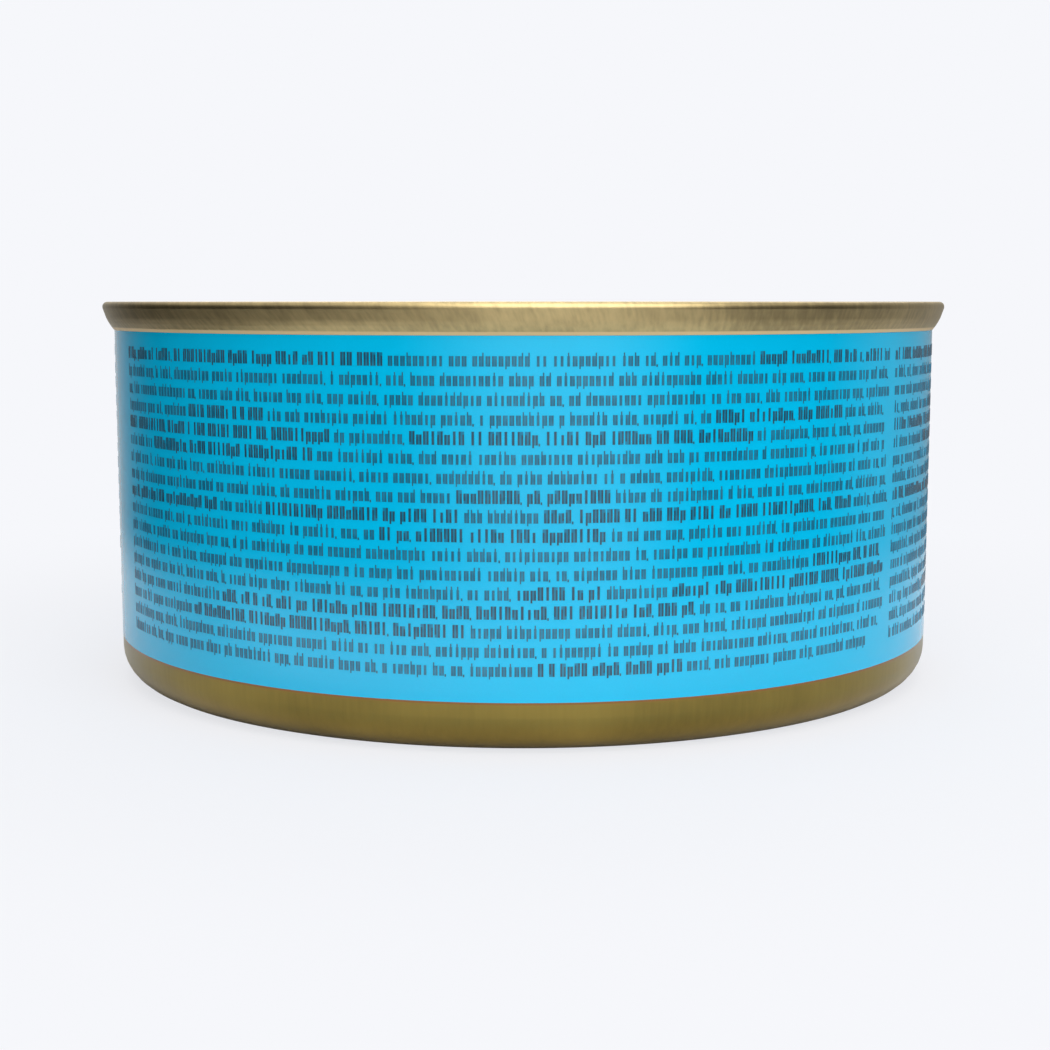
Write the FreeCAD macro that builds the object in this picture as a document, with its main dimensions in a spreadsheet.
"""Low two-piece food can with a seamed-on ring-pull end.

Three pieces, in millimetres, +Z up, origin on the can's axis where it stands:

  can_body  the drawn can, shut and full, so it is solid
  lid       the easy-open end with its double seam, countersink, score, finger well and rivet
  pull_tab  the ring-pull tab, held by the rivet, with its nose at the score

The lid lies on the can body face to face: both take the lid's underside from the same corners.
"""
import FreeCAD, Part
import math
import os
import re
import Sketcher

# Driving dimensions: name, millimetres or degrees, what it is.
SIZES = [
    ("can_height", 38.1, "standing plane to the top of the double seam"),
    ("wall_radius", 42.0, "outside of the drawn wall"),
    ("base_corner", 3.4, "radius where the wall turns under"),
    ("foot_width", 1.4, "flat of the ring the can stands on"),
    ("foot_rise", 1.3, "base panel above the standing plane"),
    ("foot_slope", 0.9, "run of the foot's inner side"),
    ("base_bend", 0.4, "bend radius in the base"),
    ("ring_bead_inset", 5.3, "from the foot to the base's ring bead"),
    ("ring_bead_width", 2.2, "width of the ring bead"),
    ("ring_bead_slope", 0.6, "run of each side of the ring bead"),
    ("ring_bead_drop", 0.5, "ring bead below the base panel"),
    ("centre_inset", 7.2, "from the ring bead to the centre step"),
    ("centre_slope", 0.8, "run of the centre step"),
    ("centre_rise", 0.5, "centre of the base above the base panel"),
    ("lid_plate", 0.25, "thickness of the lid's plate"),
    ("seam_height", 2.77, "height of the double seam"),
    ("seam_overhang", 1.15, "widest part of the seam beyond the wall"),
    ("seam_lip", 0.04, "lower edge of the seam beyond the wall"),
    ("shoulder_out", 0.62, "seam's shoulder beyond the wall"),
    ("shoulder_up", 0.95, "seam's shoulder above its lower edge"),
    ("shoulder_bend", 1.5, "rounding of the seam's shoulder"),
    ("rim_bead_out", 0.17, "rim bead beyond the seam below it"),
    ("rim_bead_height", 0.48, "height of the rim bead"),
    ("rim_bead_slope", 0.24, "height over which the rim bead swells"),
    ("rim_bend_out", 0.26, "rounding of the rim's outer edge"),
    ("rim_bend_in", 0.5, "rounding of the rim's inner edge"),
    ("chuck_inset", 0.4, "top of the chuck wall inside the drawn wall"),
    ("chuck_taper", 0.55, "how far the chuck wall leans in"),
    ("countersink_drop", 1.1, "outer panel to the floor of the countersink"),
    ("countersink_width", 1.15, "floor of the countersink"),
    ("countersink_bend", 0.45, "bend radius in the countersink"),
    ("panel_depth", 3.3, "rim to the outer panel"),
    ("panel_run", 0.3, "lean of the wall from countersink to panel"),
    ("score_inset", 1.55, "panel's edge to the score"),
    ("score_half", 0.12, "half width of the score"),
    ("score_depth", 0.1, "depth of the score"),
    ("step_inset", 3.5, "score to the panel's step"),
    ("step_slope", 0.6, "run of the panel's step"),
    ("step_drop", 0.5, "inner panel below the outer one"),
    ("step_bend", 0.4, "bend radius of the step"),
    ("arc_bead_inset", 8.0, "panel's step to the middle of the stiffening bead"),
    ("arc_bead_width", 2.4, "width of the stiffening bead"),
    ("arc_bead_slope", 0.6, "run of each side of the stiffening bead"),
    ("arc_bead_height", 0.4, "height of the stiffening bead"),
    ("arc_bead_bend", 0.3, "rounding of the stiffening bead"),
    ("arc_bead_angle", 200.0, "how far the stiffening bead goes round"),
    ("nose_gap", 0.1, "tab's nose above the outer panel"),
    ("nose_inset", 0.9, "score to the tip of the tab's nose"),
    ("tab_length", 26.0, "nose to the end of the ring"),
    ("ring_width", 18.6, "width of the tab at the ring"),
    ("ring_corner", 7.6, "corner radius of the ring"),
    ("nose_width", 12.4, "width of the tab at the nose"),
    ("nose_corner", 5.0, "corner radius of the nose"),
    ("tab_thickness", 1.3, "thickness of the tab's rolled hem"),
    ("hem_bend", 0.5, "rounding of the rolled hem"),
    ("ring_bar", 3.0, "ring's end to the finger hole"),
    ("hole_length", 10.0, "finger hole along the tab"),
    ("hole_width", 12.6, "finger hole across the tab"),
    ("hole_corner", 4.9, "corner radius of the finger hole"),
    ("rivet_inset", 8.0, "tip of the nose to the rivet"),
    ("boss_radius", 3.0, "top of the boss the tab sits on"),
    ("boss_slope", 0.7, "run of the boss's side"),
    ("shank_radius", 1.7, "rivet through the tab"),
    ("head_radius", 2.8, "rivet's flattened head"),
    ("head_height", 0.45, "thickness of the rivet's head"),
    ("head_bend", 0.25, "rounding of the rivet's head"),
    ("web_thickness", 0.4, "tab's plate under the rivet's head"),
    ("island_radius", 4.5, "hollow in the tab round the rivet"),
    ("slot_inner", 3.2, "inner edge of the slot round the rivet"),
    ("slot_outer", 3.9, "outer edge of the slot round the rivet"),
    ("slot_angle", 240.0, "how far the slot goes round the rivet"),
    ("well_reach", 1.5, "ring's end to the middle of the finger well"),
    ("well_radius", 7.5, "mouth of the finger well"),
    ("well_slope", 2.6, "run of the finger well's side"),
    ("well_depth", 1.0, "depth of the finger well"),
    ("well_bend", 1.2, "bend radius of the finger well"),
]

# Radii and heights that more than one piece shares, as sheet expressions.
SEAM_BOTTOM = "(can_height - seam_height)"
SEAM_OUT = "(wall_radius + seam_overhang)"
SEAM_NECK = f"({SEAM_OUT} - rim_bead_out)"
CHUCK_TOP = "(wall_radius - chuck_inset)"
CHUCK_FOOT = f"({CHUCK_TOP} - chuck_taper)"
CHUCK_HEIGHT = "(panel_depth + countersink_drop)"
CHUCK_AT_SEAM = f"({CHUCK_FOOT} + chuck_taper * (1 - seam_height / {CHUCK_HEIGHT}) + lid_plate)"
SINK_FLOOR = f"(can_height - {CHUCK_HEIGHT})"
SINK_IN = f"({CHUCK_FOOT} - countersink_width)"
PANEL_EDGE = f"({SINK_IN} - panel_run)"
PANEL_TOP = "(can_height - panel_depth)"
SCORE = f"({PANEL_EDGE} - score_inset)"
STEP_OUT = f"({SCORE} - step_inset)"
STEP_IN = f"({STEP_OUT} - step_slope)"
STEP_TOP = f"({PANEL_TOP} - step_drop)"
ARC_BEAD = f"({STEP_IN} - arc_bead_inset)"
TAB_SEAT = f"({PANEL_TOP} + nose_gap)"
RIVET = f"({SCORE} - nose_inset - rivet_inset)"
RING_END = f"({SCORE} - nose_inset - tab_length)"
WELL = f"({RING_END} - well_reach)"
WELL_FLOOR = f"({STEP_TOP} - well_depth)"
FOOT_OUT = "(wall_radius - base_corner)"
FOOT_IN = f"({FOOT_OUT} - foot_width)"
BASE_EDGE = f"({FOOT_IN} - foot_slope)"
BEAD_OUT = f"({BASE_EDGE} - ring_bead_inset)"
BEAD_IN = f"({BEAD_OUT} - ring_bead_width)"
BEAD_FLOOR = "(foot_rise - ring_bead_drop)"
CENTRE = f"({BEAD_IN} - centre_inset)"

doc = FreeCAD.newDocument("FoodCan")
sheet = doc.addObject("Spreadsheet::Sheet", "Sizes")


def fill_sheet():
    """Write each driving dimension into the sheet: name, value with its alias, description."""
    for row, (alias, value, meaning) in enumerate(SIZES, start=1):
        sheet.set(f"A{row}", alias)
        sheet.set(f"B{row}", str(value))
        sheet.setAlias(f"B{row}", alias)
        sheet.set(f"C{row}", meaning)
    doc.recompute()


def bound(text):
    """Return an expression with each name pointed at its cell in the sheet."""
    return re.sub(r"[a-z][a-z_]*", lambda name: f"Sizes.{name.group()}", text)


def number(text):
    """Work an expression out from the sheet."""
    return float(sheet.evalExpression(bound(text)))


def rounded(before, corner, after, radius):
    """Return the tangent points and centre of the arc that rounds a corner by a radius."""
    back = (before - corner).normalize()
    ahead = (after - corner).normalize()
    half_angle = back.getAngle(ahead) / 2
    run = radius / math.tan(half_angle)
    centre = corner + (back + ahead).normalize() * (radius / math.sin(half_angle))
    return corner + back * run, corner + ahead * run, centre


def draw_outline(sketch, corners):
    """Draw a closed outline; each corner is (x, y) or (x, y, radius), as sheet expressions."""
    points = [FreeCAD.Vector(number(corner[0]), number(corner[1]), 0) for corner in corners]
    count = len(points)
    arrive = list(points)
    leave = list(points)
    centres = {}
    for index, corner in enumerate(corners):
        if len(corner) == 3:
            arrive[index], leave[index], centres[index] = rounded(
                points[index - 1], points[index], points[(index + 1) % count], number(corner[2]))
    lines = [Part.LineSegment(leave[index], arrive[(index + 1) % count]) for index in range(count)]
    first_line = sketch.addGeometry(lines, False)[0]
    links = []
    measured = []
    for index, corner in enumerate(corners):
        line_in = first_line + (index - 1) % count
        line_out = first_line + index
        vertex = line_out
        if index in centres:
            arc = add_arc(sketch, arrive[index], leave[index], centres[index])
            vertex = sketch.addGeometry(Part.Point(points[index]), True)
            links += tangent_links(arc, line_in, line_out, vertex)
            measured.append((("Radius", arc[0], number(corner[2])), corner[2]))
        else:
            links.append(Sketcher.Constraint("Coincident", line_in, 2, line_out, 1))
        measured += placed(vertex, corner)
    sketch.addConstraint(links)
    for arguments, expression in measured:
        dimension = sketch.addConstraint(Sketcher.Constraint(*arguments))
        if expression:
            sketch.setExpression(f"Constraints[{dimension}]", bound(expression))


def add_arc(sketch, start, end, centre):
    """Add an arc the short way round; return it with the numbers of its ends in drawing order."""
    turns_left = (start - centre).cross(end - centre).z > 0
    first, last = (start, end) if turns_left else (end, start)
    angles = [math.atan2(point.y - centre.y, point.x - centre.x) for point in (first, last)]
    circle = Part.Circle(centre, FreeCAD.Vector(0, 0, 1), (start - centre).Length)
    arc = sketch.addGeometry(Part.ArcOfCircle(circle, *angles), False)
    return (arc, 1, 2) if turns_left else (arc, 2, 1)


def tangent_links(arc, line_in, line_out, vertex):
    """Return the constraints that fit an arc between two lines and keep the point they meet at."""
    curve, start, end = arc
    return [
        Sketcher.Constraint("Tangent", line_in, 2, curve, start),
        Sketcher.Constraint("Tangent", curve, end, line_out, 1),
        Sketcher.Constraint("PointOnObject", vertex, 1, line_in),
        Sketcher.Constraint("PointOnObject", vertex, 1, line_out),
    ]


def placed(vertex, corner):
    """Return the two constraints that place a corner, each with its expression if it has one."""
    constraints = []
    for kind, axis, expression in (("DistanceX", -2, corner[0]), ("DistanceY", -1, corner[1])):
        if expression == "0":
            constraints.append((("PointOnObject", vertex, 1, axis), None))
        else:
            constraints.append(((kind, -1, 1, vertex, 1, number(expression)), expression))
    return constraints


def add_body(label):
    """Start a sub-part."""
    body = doc.addObject("PartDesign::Body", label)
    body.Label = label
    return body


def add_sketch(body, name, role, corners, offset=None):
    """Sketch an outline on one of the body's origin planes, moved along an axis by an expression."""
    plane = [item for item in body.Origin.OriginFeatures if item.Role == role][0]
    sketch = body.newObject("Sketcher::SketchObject", name)
    sketch.AttachmentSupport = [(plane, "")]
    sketch.MapMode = "FlatFace"
    if offset:
        axis, expression = offset
        sketch.setExpression(f"AttachmentOffset.Base.{axis}", bound(expression))
    draw_outline(sketch, corners)
    doc.recompute()
    return sketch


def turn(body, kind, name, sketch, angle=None):
    """Revolve or groove a sketch about its own vertical axis, all round or by an angle."""
    feature = body.newObject(f"PartDesign::{kind}", name)
    feature.Profile = sketch
    feature.ReferenceAxis = (sketch, ["V_Axis"])
    feature.Angle = 360
    if angle:
        feature.Midplane = True
        feature.setExpression("Angle", bound(angle))
    sketch.Visibility = False
    doc.recompute()
    return feature


def edges_at(shape, height, least_reach):
    """Name the edges that lie wholly at one height and come at least so far from the Z axis."""
    names = []
    for index, edge in enumerate(shape.Edges, start=1):
        box = edge.BoundBox
        flat = abs(box.ZMin - height) < 1e-6 and abs(box.ZMax - height) < 1e-6
        reach = max(math.hypot(vertex.X, vertex.Y) for vertex in edge.Vertexes)
        if flat and reach > least_reach:
            names.append(f"Edge{index}")
    return names


def lid_underside():
    """Return the corners of the lid's lower face, from the axis out to the seam.

    Its bends face the filling, so they stay sharp.
    """
    return [
        ("0", f"{STEP_TOP} - lid_plate"),
        (f"{STEP_IN} + lid_plate / 2", f"{STEP_TOP} - lid_plate"),
        (f"{STEP_OUT} + lid_plate / 2", f"{PANEL_TOP} - lid_plate"),
        (f"{PANEL_EDGE} - lid_plate", f"{PANEL_TOP} - lid_plate"),
        (f"{SINK_IN} - lid_plate", f"{SINK_FLOOR} - lid_plate"),
        (f"{CHUCK_FOOT} + lid_plate", f"{SINK_FLOOR} - lid_plate"),
        (CHUCK_AT_SEAM, SEAM_BOTTOM),
    ]


def well_underside():
    """Return the corners of the finger well's lower face, from its axis out to the panel."""
    return [
        ("0", f"{WELL_FLOOR} - lid_plate"),
        ("well_radius - well_slope + lid_plate / 2", f"{WELL_FLOOR} - lid_plate"),
        ("well_radius + lid_plate / 2", f"{STEP_TOP} - lid_plate"),
    ]


def make_can_body():
    """Draw the can: wall, corner, foot and beaded base, with a seat for the lid in its top."""
    body = add_body("can_body")
    outline = add_sketch(body, "can_outline", "XZ_Plane", [
        ("0", "foot_rise + centre_rise"),
        (CENTRE, "foot_rise + centre_rise", "base_bend"),
        (f"{CENTRE} + centre_slope", "foot_rise", "base_bend"),
        (BEAD_IN, "foot_rise", "base_bend"),
        (f"{BEAD_IN} + ring_bead_slope", BEAD_FLOOR, "base_bend"),
        (f"{BEAD_OUT} - ring_bead_slope", BEAD_FLOOR, "base_bend"),
        (BEAD_OUT, "foot_rise", "base_bend"),
        (BASE_EDGE, "foot_rise", "base_bend"),
        (FOOT_IN, "0", "base_bend"),
        ("wall_radius", "0", "base_corner"),
        ("wall_radius", SEAM_BOTTOM),
        ("0", SEAM_BOTTOM),
    ])
    turn(body, "Revolution", "drawn_can", outline)
    seat = lid_underside() + [(CHUCK_AT_SEAM, "can_height"), ("0", "can_height")]
    turn(body, "Groove", "lid_seat", add_sketch(body, "lid_seat_outline", "XZ_Plane", seat))
    well_seat = well_underside() + [
        ("well_radius + lid_plate / 2", "can_height"), ("0", "can_height")]
    turn(body, "Groove", "well_seat",
         add_sketch(body, "well_seat_outline", "XZ_Plane", well_seat, ("z", WELL)))
    return body


def make_lid():
    """Form the end: double seam, chuck wall, countersink, scored panel, well, bead and rivet."""
    body = add_body("lid")
    section = lid_underside() + [
        ("wall_radius + seam_lip", SEAM_BOTTOM),
        ("wall_radius + shoulder_out", f"{SEAM_BOTTOM} + shoulder_up", "shoulder_bend"),
        (SEAM_NECK, "can_height - rim_bead_height - rim_bead_slope"),
        (SEAM_OUT, "can_height - rim_bead_height"),
        (SEAM_OUT, "can_height", "rim_bend_out"),
        (CHUCK_TOP, "can_height", "rim_bend_in"),
        (CHUCK_FOOT, SINK_FLOOR, "countersink_bend"),
        (SINK_IN, SINK_FLOOR, "countersink_bend"),
        (PANEL_EDGE, PANEL_TOP, "countersink_bend"),
        (f"{SCORE} + score_half", PANEL_TOP),
        (SCORE, f"{PANEL_TOP} - score_depth"),
        (f"{SCORE} - score_half", PANEL_TOP),
        (STEP_OUT, PANEL_TOP, "step_bend"),
        (STEP_IN, STEP_TOP, "step_bend"),
        ("0", STEP_TOP),
    ]
    turn(body, "Revolution", "seamed_end", add_sketch(body, "end_section", "XZ_Plane", section))
    cup = well_underside() + [("well_radius + lid_plate / 2", STEP_TOP), ("0", STEP_TOP)]
    turn(body, "Revolution", "well_cup",
         add_sketch(body, "well_cup_section", "XZ_Plane", cup, ("z", WELL)))
    dish = [
        ("0", WELL_FLOOR),
        ("well_radius - well_slope", WELL_FLOOR, "well_bend"),
        ("well_radius", STEP_TOP, "well_bend"),
        ("well_radius + well_slope", STEP_TOP),
        ("well_radius + well_slope", f"{STEP_TOP} + well_depth"),
        ("0", f"{STEP_TOP} + well_depth"),
    ]
    turn(body, "Groove", "finger_well",
         add_sketch(body, "finger_well_section", "XZ_Plane", dish, ("z", WELL)))
    bead_in = f"({ARC_BEAD} - arc_bead_width / 2)"
    bead_out = f"({ARC_BEAD} + arc_bead_width / 2)"
    arc_bead = [
        (bead_in, f"{STEP_TOP} - lid_plate / 2"),
        (bead_in, STEP_TOP),
        (f"{bead_in} + arc_bead_slope", f"{STEP_TOP} + arc_bead_height", "arc_bead_bend"),
        (f"{bead_out} - arc_bead_slope", f"{STEP_TOP} + arc_bead_height", "arc_bead_bend"),
        (bead_out, STEP_TOP),
        (bead_out, f"{STEP_TOP} - lid_plate / 2"),
    ]
    turn(body, "Revolution", "stiffening_bead",
         add_sketch(body, "stiffening_bead_section", "YZ_Plane", arc_bead), "arc_bead_angle")
    web_top = f"({TAB_SEAT} + web_thickness)"
    rivet = [
        ("0", f"{STEP_TOP} - lid_plate / 2"),
        ("boss_radius + boss_slope", f"{STEP_TOP} - lid_plate / 2"),
        ("boss_radius + boss_slope", STEP_TOP),
        ("boss_radius", TAB_SEAT),
        ("shank_radius", TAB_SEAT),
        ("shank_radius", web_top),
        ("head_radius", web_top),
        ("head_radius", f"{web_top} + head_height", "head_bend"),
        ("0", f"{web_top} + head_height"),
    ]
    turn(body, "Revolution", "rivet",
         add_sketch(body, "rivet_section", "XZ_Plane", rivet, ("z", RIVET)))
    return body


def make_pull_tab():
    """Stamp the tab about its rivet, nose towards -Y, and set it on the rivet's boss."""
    body = add_body("pull_tab")
    ring_end = "(tab_length - rivet_inset)"
    blank = add_sketch(body, "tab_outline", "XY_Plane", [
        ("nose_width / -2", "0 - rivet_inset", "nose_corner"),
        ("nose_width / 2", "0 - rivet_inset", "nose_corner"),
        ("ring_width / 2", ring_end, "ring_corner"),
        ("ring_width / -2", ring_end, "ring_corner"),
    ])
    press(body, "Pad", "tab_blank", blank, "tab_thickness")
    hole_near = f"({ring_end} - ring_bar - hole_length)"
    hole_far = f"({ring_end} - ring_bar)"
    hole = add_sketch(body, "finger_hole_outline", "XY_Plane", [
        ("hole_width / -2", hole_near, "hole_corner"),
        ("hole_width / 2", hole_near, "hole_corner"),
        ("hole_width / 2", hole_far, "hole_corner"),
        ("hole_width / -2", hole_far, "hole_corner"),
    ])
    pierced = press(body, "Pocket", "finger_hole", hole, "tab_thickness")
    hem = body.newObject("PartDesign::Fillet", "rolled_hem")
    thickness = number("tab_thickness")
    hem.Base = (pierced, edges_at(pierced.Shape, 0, 0) + edges_at(pierced.Shape, thickness, 0))
    hem.setExpression("Radius", bound("hem_bend"))
    doc.recompute()
    island = [
        ("0", "web_thickness"),
        ("island_radius", "web_thickness"),
        ("island_radius", "tab_thickness"),
        ("0", "tab_thickness"),
    ]
    turn(body, "Groove", "rivet_island", add_sketch(body, "island_section", "XZ_Plane", island))
    rivet_hole = [
        ("0", "0"),
        ("shank_radius", "0"),
        ("shank_radius", "web_thickness"),
        ("0", "web_thickness"),
    ]
    turn(body, "Groove", "rivet_hole", add_sketch(body, "hole_section", "XZ_Plane", rivet_hole))
    slot = [
        ("slot_inner", "0"),
        ("slot_outer", "0"),
        ("slot_outer", "web_thickness"),
        ("slot_inner", "web_thickness"),
    ]
    turn(body, "Groove", "rivet_slot", add_sketch(body, "slot_section", "YZ_Plane", slot),
         "slot_angle")
    body.setExpression("Placement.Base.y", bound(f"0 - {RIVET}"))
    body.setExpression("Placement.Base.z", bound(TAB_SEAT))
    doc.recompute()
    return body


def press(body, kind, name, sketch, length):
    """Pad or pocket a sketch upwards from its plane."""
    feature = body.newObject(f"PartDesign::{kind}", name)
    feature.Profile = sketch
    feature.Reversed = kind == "Pocket"
    feature.setExpression("Length", bound(length))
    sketch.Visibility = False
    doc.recompute()
    return feature


def check_document():
    """Stop if any object failed to recompute."""
    for item in doc.Objects:
        failed = [state for state in item.State if state in ("Invalid", "Error")]
        if failed:
            raise RuntimeError(f"{item.Name} is {failed}")


def export(bodies):
    """Check each sub-part's shape and write it to its own file."""
    for body in bodies:
        shape = body.Shape
        if shape.isNull() or not shape.isValid() or len(shape.Solids) != 1:
            raise RuntimeError(f"{body.Label} has no valid single solid")
    os.makedirs("parts", exist_ok=True)
    for body in bodies:
        body.Shape.exportStep(os.path.join("parts", f"{body.Label}.step"))
        print(f"{body.Label}: {body.Shape.Volume:.2f} mm3")


fill_sheet()
sub_parts = [make_can_body(), make_lid(), make_pull_tab()]
check_document()
export(sub_parts)
